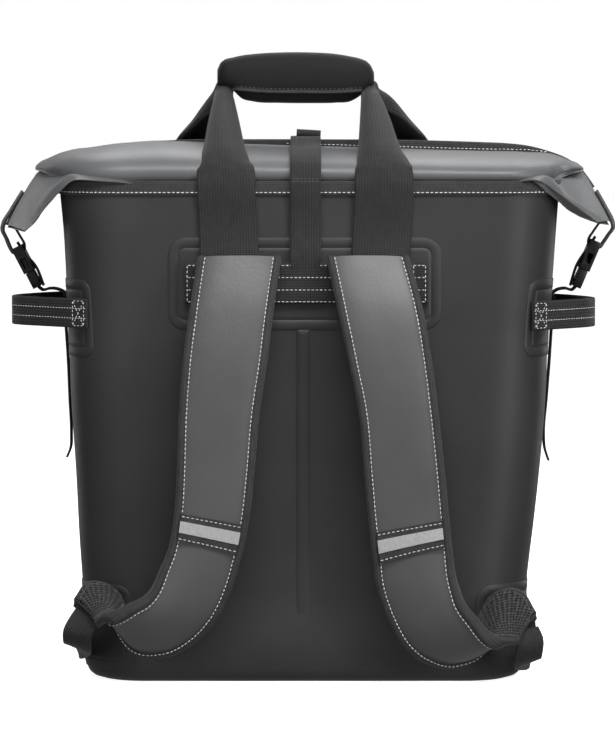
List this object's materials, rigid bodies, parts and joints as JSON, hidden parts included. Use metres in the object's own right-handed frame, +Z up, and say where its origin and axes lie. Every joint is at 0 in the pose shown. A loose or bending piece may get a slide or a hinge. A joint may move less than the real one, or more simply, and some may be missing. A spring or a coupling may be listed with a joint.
{
  "type": "cooler backpack",
  "caption": "Soft-sided cooler backpack with a fold-down top, padded shoulder straps, grab handle, side buckles and side loops.",
  "frame": {"origin": "middle of the flat base", "axes": "+Z up, -Y towards the wearer's back, +X to the right as seen from the wearer's side"},
  "size_m": [0.5357, 0.3038, 0.5371],
  "materials": {
    "body_fabric": "matte coated",
    "hood_fabric": "satin coated",
    "webbing": "woven",
    "strap_fabric": "satin coated",
    "strap_mesh": "open mesh",
    "reflective": "satin",
    "buckle_plastic": "moulded"
  },
  "bodies": {
    "root": {"insulated_body": "body_fabric", "rim_binding": "webbing", "hood": "hood_fabric", "mouth_binding": "webbing", "back_yoke_patch": "body_fabric", "back_yoke_webbing": "webbing", "centre_seam_tape": "body_fabric", "centre_strap": "webbing", "centre_strap_tab": "webbing", "handle_strap_back_left": "webbing", "handle_strap_back_right": "webbing", "handle_strap_front_left": "webbing", "handle_strap_front_right": "webbing", "handle_grip": "webbing", "shoulder_pad_left": "strap_fabric", "shoulder_mesh_left": "strap_mesh", "shoulder_binding_left": "webbing", "reflector_band_left": "webbing", "reflector_strip_left": "reflective", "lower_webbing_left": "webbing", "lower_patch_left": "body_fabric", "side_patch_left": "body_fabric", "side_loop_left": "webbing", "buckle_socket_left": "buckle_plastic", "buckle_plug_left": "buckle_plastic", "wing_loop_left": "webbing", "buckle_webbing_left": "webbing", "side_tail_left": "webbing", "shoulder_pad_right": "strap_fabric", "shoulder_mesh_right": "strap_mesh", "shoulder_binding_right": "webbing", "reflector_band_right": "webbing", "reflector_strip_right": "reflective", "lower_webbing_right": "webbing", "lower_patch_right": "body_fabric", "side_patch_right": "body_fabric", "side_loop_right": "webbing", "buckle_socket_right": "buckle_plastic", "buckle_plug_right": "buckle_plastic", "wing_loop_right": "webbing", "buckle_webbing_right": "webbing", "side_tail_right": "webbing"}
  },
  "joints": []
}
